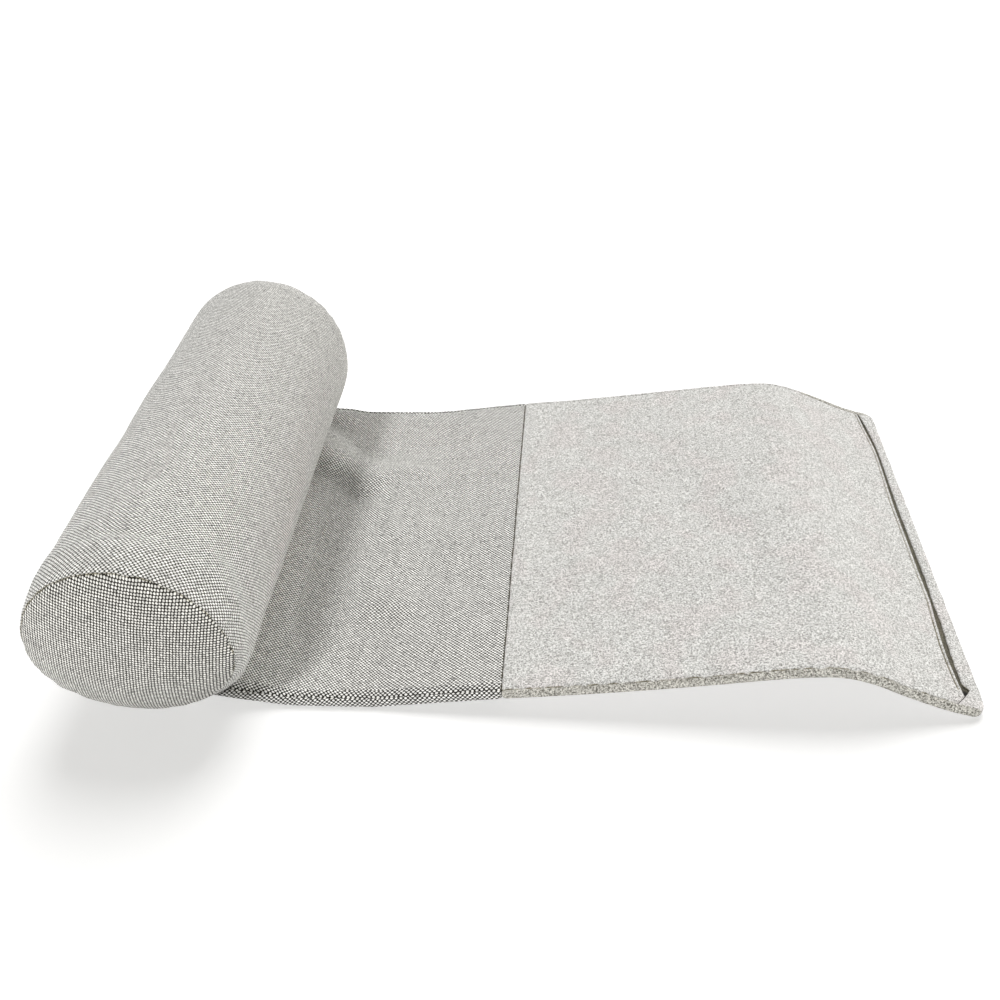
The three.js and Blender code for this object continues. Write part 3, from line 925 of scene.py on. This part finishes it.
def front_piece(name, xs, start, lip, finish, shaded_edge_finish):
    """A front layer: its edges dip into their seams; start and lip follow their lines across the tail."""
    near_y, far_y = TAIL_NEAR + FRONT_INSET, TAIL_FAR - FRONT_INSET
    ys = np.concatenate([spaced(near_y, NEAR_FINE, 0.0042, fine_end=False)[:6],
                         np.linspace(near_y + 0.0050, NEAR_FINE, 24),
                         spaced(NEAR_FINE, far_y, 0.0042, fine_start=False)[1:]])
    x, y = np.meshgrid(xs, ys, indexing="ij")
    extra = (far_band(x) - 1) * 0.0031
    y = y - extra * smooth(y, TAIL_FAR - 0.05, far_y)
    y_near, y_far = y - near_y, far_y - extra - y
    if start is not None:
        x = x + (start(y) - xs[0]) * (1 - smooth(x, xs[0], xs[0] + 0.03))
    if lip is not None:
        x = x + (lip(y) - xs[-1]) * smooth(x, xs[-1] - 0.02, xs[-1])
    from_start, from_end = x - x[:1], x[-1:] - x
    dip = np.maximum(np.exp(-y_near / 0.0011), np.exp(-y_far / 0.0011))
    if lip is None:
        dip = np.maximum(dip, np.exp(-from_end / 0.0009))
    if start is None:
        dip = np.maximum(dip, np.exp(-from_start / 0.0009))
    else:
        dip = np.maximum(dip, 0.6 * np.exp(-from_start / 0.0015))
    # Painted shade along the seams: strong on the felt's near seam, faint on the woven one, light on the far
    # felt seam where the tail drops, and along the piecing seam.
    middle, swing = (0.45, 0.55) if start is None else (0.12, 0.12)
    shade = np.maximum(np.exp(-(y_near / 0.0008) ** 2) * (middle + swing * row_ripple(x, 0.009, 23)),
                       np.exp(-(y_far / 0.0005) ** 2) * 0.3 * smooth(x, 0.60, 0.63))
    pieced = np.exp(-((from_end if lip is None else from_start) / 0.0005) ** 2)
    shade = np.maximum(shade, pieced * (0.4 + 0.4 * row_ripple(y, 0.009, 24)))
    pucker = (0.00016 * row_ripple(x, 0.011, 21) * np.exp(-np.minimum(y_near, y_far) / 0.007)
              + 0.00010 * row_ripple(y, 0.009, 22) * np.exp(-np.minimum(from_start, from_end) / 0.005))
    if start is not None:
        dip = np.where(y_far < 0.01, 0.5 * dip, dip)
    rounding = 0.0009 * np.exp(-np.minimum(y_near, y_far) / 0.0025)
    depth = TAIL_THICKNESS - 0.0016 * dip - rounding + pucker * (1 - dip)
    if lip is not None:
        full = smooth(y, -0.206, -0.199)
        groove = full * np.exp(-((from_end - 0.0036) / 0.0006) ** 2)
        groove *= 0.75 + 0.35 * smooth(-y, 0.08, 0.14) + 0.15 * row_ripple(y, 0.02, 25)
        depth = depth - 0.0011 * np.exp(-(from_end / 0.0009) ** 2) - 0.0009 * groove
        depth = depth + 0.0006 * full * np.exp(-((from_end - 0.0019) / 0.0011) ** 2)
        # Painted shade in the lip's groove.
        shade = np.maximum(shade, 0.55 * groove)
    outer = tail_point(x, y, depth)
    inner = tail_point(x, y, np.full_like(x, TAIL_THICKNESS - LAYER + 0.0001))
    cloth = np.stack([cloth_length(x), y + cloth_skew(x)], -1)
    shades = shell_of_one(shade)
    # Painted shade on the lip's inner face and cut end, down in the pocket's mouth.
    if lip is not None:
        shades[1] = np.maximum(shade, 0.7 * np.exp(-(from_end / 0.004) ** 2))
        shades[3] = np.stack([shade[-1], 0 * shade[-1] + 0.7])
    piece = sewn(name, shell(outer, inner), shell_of_one(cloth), shades)
    piece.data.materials.append(finish)
    if start is not None:
        piece.data.materials.append(shaded_edge_finish)
        x, y, _ = face_centers(piece).T
        set_edge(piece, y < TAIL_NEAR + 0.0112 + 0.0008 * row_ripple(x, 0.03, 27))
    return piece


def face_centers(piece):
    centers = np.empty(len(piece.data.polygons) * 3)
    piece.data.polygons.foreach_get("center", centers)
    return centers.reshape(-1, 3)


def set_edge(piece, at_edge):
    """Gives faces the second finish, the turned-up edges' darker copy of their cloth, with painted shade."""
    piece.data.polygons.foreach_set("material_index", at_edge.astype(np.int32))


def dipped(outer, inner, distance, share=0.5, reach=0.0009):
    """A cloth's outer face dips towards its inner one at a seam."""
    amount = share * np.exp(-distance / reach)
    while amount.ndim < outer.ndim:
        amount = amount[..., None]
    return outer + (inner - outer) * amount


def band_wobble(x, y, depth):
    """How far the sewn edge moves across the tail, as it isn't quite even."""
    wobble = 0.00022 * row_ripple(x, 0.022, 13) + 0.00012 * row_ripple(x, 0.009, 14)
    outward = np.where(y < 0, -1, 1) * smooth(np.abs(y - (TAIL_NEAR + TAIL_FAR) / 2), 0.2195, 0.230)
    return wobble * (depth / TAIL_THICKNESS) * outward


def woven_back(finish, shaded_edge_finish):
    xs = spaced(0.066, PIECING_X - 0.0002, 0.0045, fine_start=False)
    middle = np.linspace(TAIL_NEAR + CORNER, TAIL_FAR - CORNER, 90)[1:-1]

    def across(band, height):
        """Places and depths across the cloth, up over both turned-up edges."""
        return (np.concatenate([TAIL_NEAR + band[:, 0], middle, (TAIL_FAR - band[:, 0])[::-1]]),
                np.concatenate([band[:, 1], 0 * middle + height, band[:, 1][::-1]]))

    def faces(ys, depths):
        x, y = np.meshgrid(xs, ys, indexing="ij")
        depth = np.broadcast_to(depths, x.shape)
        x = x + (root(y, depth) - xs[0]) * (1 - smooth(x, xs[0], xs[0] + 0.03))
        return tail_point(x, y + band_wobble(x, y, depth), depth), x

    outer_line = across(BAND_OUTER, 0)
    outer, x = faces(*outer_line)
    inner, _ = faces(*across(BAND_INNER, BACK_TOP))
    outer = dipped(outer, inner, x[-1:] - x)
    length = np.concatenate([[0], np.cumsum(np.hypot(*np.diff(outer_line, axis=1)))])
    cloth = np.stack([cloth_length(x), length + cloth_skew(x)], -1)
    # Painted shade on the band's top, beside the seam with the front.
    shade = np.zeros_like(x)
    shade[:, :2] = np.array([0.6, 0.3]) * (0.8 + 0.25 * row_ripple(x[:, :1], 0.012, 23))
    piece = sewn("woven_back", shell(outer, inner), shell_of_one(cloth), shell_of_one(shade))
    piece.data.materials.append(finish)
    piece.data.materials.append(shaded_edge_finish)
    mark_edges(piece)
    return piece


def mark_edges(piece):
    """The turned-up edges get their cloth's darker copy, painted shade; it doesn't show on the middle of the
    far felt edge.
    """
    x, y, z = face_centers(piece).T
    far = (y > TAIL_FAR - 0.0075) & ((x < PIECING_X) | (x > 0.600))
    set_edge(piece, (z - underside(x, y) > 0.0004) & ((y < TAIL_NEAR + 0.0033) | far))


def strip_profile(profile, width):
    """Insets and depths of the folded-over end for a strip of one width."""
    inset = np.where(np.arange(len(profile)) < ON_FRONT, profile[:, 0] * width, profile[:, 0] / 1000)
    return inset, profile[:, 1] / 1000


def end_rows(ys, profile):
    """Points across the folded-over end, one row for each place across the tail."""
    inset, depth = strip_profile(profile, (TAIL_END - strip_lip(ys))[:, None])
    return np.stack(np.broadcast_arrays(TAIL_END - inset, ys[:, None], depth), -1)


def side_band_rows(xs, edge, way, profile, grow):
    """Points across a turned-up edge, one row for each place along the tail."""
    inset = np.tile(profile[:, 0], (len(xs), 1))
    inset[:, :ON_FRONT] *= np.reshape(grow, (-1, 1))
    return np.stack(np.broadcast_arrays(xs[:, None], edge - way * inset, profile[:, 1]), -1)


def corner_row(rim, out, lip, weight, profile_band, profile_strip):
    """One row at a corner: from its lip on the front to its rim and in under the tail."""
    reach = float(np.linalg.norm(rim - lip))
    strip_inset, strip_depth = strip_profile(profile_strip, reach)
    band_inset = profile_band[:, 0].copy()
    band_inset[:ON_FRONT] *= reach / profile_band[0, 0]
    inset = band_inset * (1 - weight) + strip_inset * weight
    depth = profile_band[:, 1] * (1 - weight) + strip_depth * weight
    direction = np.where(np.arange(len(inset))[:, None] < ON_FRONT, (lip - rim)[None] / reach, -out[None])
    return np.column_stack([rim + direction * inset[:, None], depth])


def far_corner_rows(profile_band, profile_strip, turns):
    """Points round the far corner: the band turns into the strip, and its lip follows the mouth's corner."""
    center = np.array([TAIL_END - CORNER, TAIL_FAR - CORNER])
    lip_y = TAIL_FAR - profile_band[0, 0] * float(far_band(center[0]))
    corner_lip = float(strip_lip(lip_y))
    rows = []
    for turn in turns:
        share = turn / 90
        out = np.array([math.sin(math.radians(turn)), math.cos(math.radians(turn))])
        if share < 0.5:
            lip = np.array([center[0] + (corner_lip - center[0]) * share * 2, lip_y])
        else:
            y = lip_y + (center[1] - lip_y) * (share * 2 - 1)
            lip = np.array([float(strip_lip(y)), y])
        rows.append(corner_row(center + out * CORNER, out, lip, smooth(share, 0.15, 0.85),
                               profile_band, profile_strip))
    return np.array(rows)


def near_corner_rows(xs, profile_band, profile_strip, turns):
    """Points round the near corner, where the strip lies on the front as far as its slanting edge."""
    outs = [(0.0, -1.0)] * len(xs)
    outs += [(math.sin(math.radians(turn)), -math.cos(math.radians(turn))) for turn in turns]
    outs = np.array(outs)
    rims = np.array([TAIL_END - CORNER, TAIL_NEAR + CORNER]) + outs * CORNER
    rims[:len(xs), 0] = xs
    start = TAIL_NEAR + profile_band[0, 0]
    rows = []
    for i, (rim, out) in enumerate(zip(rims, outs)):
        share = (i + 1) / (len(rims) + 1)
        y = start + (TAIL_NEAR + CORNER - start) * share
        lip = np.array([float(fold_edge(y)), y])
        rows.append(corner_row(rim, out, lip, smooth(share, 0.0, 0.7), profile_band, profile_strip))
    return np.array(rows)


def felt_back(finish, shaded_edge_finish):
    x_stop = TAIL_END - CORNER
    xs = np.concatenate([spaced(PIECING_X + 0.0002, 0.640, 0.0045, fine_end=False),
                         np.linspace(0.640, x_stop, 26)[1:]])
    ys = np.concatenate([np.linspace(TAIL_NEAR + CORNER, -0.188, 31),
                         np.linspace(-0.188, TAIL_FAR - CORNER, 140)[1:]])
    turns = np.linspace(0, 90, 17)[1:-1]
    banded = xs < FOLD_EDGE[0, 1]

    def around(band, strip):
        """Rows all round the felt's edge: along, across and depth of each point."""
        rows = np.concatenate([
            side_band_rows(xs[banded], TAIL_NEAR, -1, band, 1.0),
            near_corner_rows(xs[~banded], band, strip, turns),
            end_rows(ys, strip),
            far_corner_rows(band, strip, turns)[::-1],
            side_band_rows(xs, TAIL_FAR, 1, band, far_band(xs))[::-1],
        ])
        x, y, depth = rows[..., 0].copy(), rows[..., 1].copy(), rows[..., 2]
        rows[..., 1] += band_wobble(x, y, depth)
        rows[..., 0] += 0.0003 * row_ripple(y, 0.030, 15) * (depth / TAIL_THICKNESS) * smooth(
            x, x_stop + 0.002, TAIL_END - 0.004)
        return rows

    outer_plan = around(BAND_OUTER, STRIP_OUTER)
    inner_plan = around(BAND_INNER, STRIP_INNER)
    outer = tail_point(*np.moveaxis(outer_plan, -1, 0))
    inner = tail_point(*np.moveaxis(inner_plan, -1, 0))
    outer = dipped(outer, inner, np.maximum(outer_plan[..., 0] - xs[0], 0))
    x, y = np.meshgrid(xs, ys, indexing="ij")
    floor_inner = tail_point(x, y, BACK_TOP)
    floor_outer = dipped(tail_point(x, y, 0), floor_inner, x - xs[0])
    patches = [
        outer, inner,
        np.stack([outer[0], inner[0]]), np.stack([outer[-1], inner[-1]]),
        np.stack([outer[:, 0], inner[:, 0]], 1),
        floor_outer, floor_inner,
        np.stack([floor_outer[0], floor_inner[0]]),
    ]
    # Painted shade: on the band's top beside the front's seam, on the inner face under the lips and the
    # lips' cut faces, and down inside the pocket's mouth and notch.
    seam = [np.zeros(patch.shape[:2]) for patch in patches]
    seam[0][:, 0] = 0.35 + 0.35 * row_ripple(outer_plan[:, 0, 0] + outer_plan[:, 0, 1], 0.010, 26)
    seam[0][:, 0] *= np.maximum(outer_plan[:, 0, 1] < 0.2, smooth(outer_plan[:, 0, 0], 0.60, 0.63))

    # Painted shade inside the pocket: near its mouth, and darkest in the notch at the near corner.
    def painted_pocket_shade(x, y):
        in_mouth = 0.55 * np.exp(-((x - mouth(y, 0.0)) / 0.012) ** 2)
        return np.maximum(in_mouth, smooth(-y, 0.189, 0.197) * smooth(x, 0.640, 0.655))

    seam[1] = painted_pocket_shade(inner_plan[..., 0], inner_plan[..., 1])
    seam[1][:, :8] = np.maximum(seam[1][:, :8], 0.75)
    seam[4][:, 1] = 0.75
    seam[6] = painted_pocket_shade(x, y)
    piece = sewn("felt_back", patches, None, seam)
    piece.data.materials.append(finish)
    piece.data.materials.append(shaded_edge_finish)
    mark_edges(piece)
    return piece


# Stitches

def stitch_tree():
    """Small threads set along a line, one after another."""
    tree = bpy.data.node_groups.new("stitch row", "GeometryNodeTree")
    face = tree.interface
    face.new_socket("Line", in_out="INPUT", socket_type="NodeSocketGeometry")
    sizes = {}
    for label, value in (("Spacing", 0.0032), ("Stitch Length", 0.0022), ("Thread", 0.0005)):
        socket = face.new_socket(label, in_out="INPUT", socket_type="NodeSocketFloat")
        socket.default_value = value
        sizes[label] = socket.identifier
    sizes["Finish"] = face.new_socket("Finish", in_out="INPUT", socket_type="NodeSocketMaterial").identifier
    face.new_socket("Stitches", in_out="OUTPUT", socket_type="NodeSocketGeometry")
    given = tree.nodes.new("NodeGroupInput").outputs
    out = tree.nodes.new("NodeGroupOutput").inputs
    line = add_node(tree, "GeometryNodeMeshToCurve", {"Mesh": given["Line"]})
    points = add_node(tree, "GeometryNodeCurveToPoints", {
        "Curve": line.outputs[0], "Length": given["Spacing"]}, mode="LENGTH")
    thread = add_node(tree, "GeometryNodeMeshUVSphere", {"Segments": 6, "Rings": 4, "Radius": 0.5})
    turn = add_node(tree, "FunctionNodeAlignRotationToVector", {
        "Vector": points.outputs["Tangent"]}, axis="X")
    uneven = add_node(tree, "FunctionNodeRandomValue", {2: 0.8, 3: 1.15, "Seed": 5}, data_type="FLOAT")
    long = calc(tree, "MULTIPLY", given["Stitch Length"], uneven.outputs[1])
    size = add_node(tree, "ShaderNodeCombineXYZ", {0: long, 1: given["Thread"], 2: given["Thread"]})
    placed = add_node(tree, "GeometryNodeInstanceOnPoints", {
        "Points": points.outputs[0], "Instance": thread.outputs[0],
        "Rotation": turn.outputs[0], "Scale": size.outputs[0]})
    real = add_node(tree, "GeometryNodeRealizeInstances", {0: placed.outputs[0]})
    finish = add_node(tree, "GeometryNodeSetMaterial", {
        "Geometry": real.outputs[0], "Material": given["Finish"]})
    tree.links.new(finish.outputs[0], out[0])
    return tree, sizes


def stitch_row(name, lines, tree, sizes, finish, spacing=0.0032, length=0.0022, thread=0.0005):
    """Stitches along some lines, as one mesh."""
    points, edges = [], []
    for line in lines:
        start = len(points)
        points += [tuple(point) for point in line]
        edges += [(start + i, start + i + 1) for i in range(len(line) - 1)]
    mesh = bpy.data.meshes.new(name)
    mesh.from_pydata(points, edges, [])
    row = linked(name, mesh)
    modifier = row.modifiers.new("stitches", "NODES")
    modifier.node_group = tree
    values = {"Spacing": spacing, "Stitch Length": length, "Thread": thread, "Finish": finish}
    for label, value in values.items():
        modifier[sizes[label]] = value
    made = bpy.data.meshes.new_from_object(row.evaluated_get(bpy.context.evaluated_depsgraph_get()))
    row.modifiers.clear()
    row.data = made
    made.shade_smooth()
    return row


def edge_lines(xs, depth):
    """The lines along which the front is sewn to both turned-up edges."""
    return [tail_point(xs, TAIL_NEAR + STITCH_INSET, depth),
            tail_point(xs, TAIL_FAR - STITCH_INSET * far_band(xs), depth)]


def seam_line(side, depth):
    """The line of an end seam, a little below the cloth."""
    ring = roll_point(side, 0.0, ANGLES, 1.0)
    moved = wander_seam(ring[None], np.zeros(1), side)[0]
    middle = np.array([0, 0, AXIS_Z])
    way = moved - middle
    way[:, 1] = side * 0.055
    way /= np.linalg.norm(way, axis=1, keepdims=True)
    return moved - way * depth


# The whole pillow

def main():
    add_camera()
    floor = add_floor()
    add_light(floor)
    weave, wool = weave_group(), felt_group()
    # The gap colour is painted shade down between the yarns.
    light, dark, gap = (0.93, 0.925, 0.90), (0.055, 0.05, 0.035), (0.012, 0.011, 0.007)
    roll_finish = woven_material("woven roll", weave, 0.00184, 0.00154,
                                 (0.89, 0.88, 0.855), dark, gap, 0.83, 0.45, 0.0004)
    # The end panels' weave is darker than the roll's: darker dark yarn and smaller floats, painted as the
    # shade the ends and their gaps get.
    panel_finish = woven_material("woven end", weave, 0.00170, 0.00162,
                                  (0.91, 0.895, 0.85), (0.03, 0.027, 0.018), gap, 0.77, 0.45, 0.0005, 0.1)
    tail_finish = woven_material("woven tail", weave, 0.00173, 0.00166,
                                 light, dark, gap, 0.80, 0.45, 0.0004, 0.6)
    # The turned-up bands' weave: coarser, with darker yarn, darker gaps and smaller floats painted as shade,
    # as the bands get less light.
    shaded_edge_finish = woven_material("woven edge", weave, 0.0020, 0.0019,
                                 light, (0.025, 0.022, 0.015), (0.007, 0.006, 0.004), 0.74, 0.35, 0.0006)
    felt_finish = felt_material("felt", wool, (0.90, 0.895, 0.88), (0.10, 0.095, 0.08),
                                (0.90, 0.865, 0.855), 0.12, 0.72, 0.0006)
    # The felt's bands: a darker, more olive, more flecked copy of the felt, painted shade on the bands,
    # which get less light.
    shaded_felt_edge = felt_material("felt edge", wool, (0.80, 0.78, 0.72), (0.05, 0.045, 0.03),
                              (0.78, 0.76, 0.70), 0.24, 0.94, 0.0008)

    wrap, near_panel, far_panel = make_roll(roll_finish, panel_finish)
    back = woven_back(tail_finish, shaded_edge_finish)
    front = front_piece("woven_front", spaced(0.066, PIECING_X - 0.0002, 0.0042),
                        lambda y: root(y, np.full_like(y, TAIL_THICKNESS)), None, tail_finish, shaded_edge_finish)
    back_felt = felt_back(felt_finish, shaded_felt_edge)
    lip_rows = 0.6645 - np.array([6.4, 5.4, 4.8, 4.4, 4.0, 3.6, 3.2, 2.6, 1.9, 1.2, 0.7, 0.3, 0.0]) / 1000
    felt_rows = spaced(PIECING_X + 0.0002, lip_rows[0], 0.0042, fine_end=False)
    front_felt = front_piece("felt_front", np.concatenate([felt_rows[:-1], lip_rows]), None, front_lip,
                             felt_finish, shaded_felt_edge)

    stitches = (*stitch_tree(), thread_material("seam thread", (0.10, 0.095, 0.075)))
    near_seam, far_seam = (
        stitch_row(name, [seam_line(side, 0.0020)], *stitches, spacing=0.0026, length=0.0020, thread=0.00035)
        for name, side in (("stitches_end_near", -1), ("stitches_end_far", 1)))
    woven_seams = stitch_row("stitches_woven_edges", edge_lines(
        np.linspace(0.075, PIECING_X - 0.002, 80), 0.0066), *stitches)
    felt_seams = stitch_row("stitches_felt_edges", edge_lines(
        np.linspace(PIECING_X + 0.002, 0.651, 120), 0.0067), *stitches)
    across = np.linspace(TAIL_NEAR + 0.004, TAIL_FAR - 0.004, 120)
    piecing = stitch_row("stitches_piecing", [tail_point(PIECING_X, across, 0.0076)], *stitches)

    for piece in (wrap, near_panel, far_panel, back, front, near_seam, far_seam, woven_seams, piecing):
        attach(piece, "root")
    for piece in (back_felt, front_felt, felt_seams):
        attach(piece, "root")
    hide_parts("roll")
    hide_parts("end_panel_near")
    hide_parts("end_panel_far")
    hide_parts("tail_woven_back")
    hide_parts("tail_woven_front")
    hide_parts("tail_felt_back")
    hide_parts("tail_felt_front")


main()
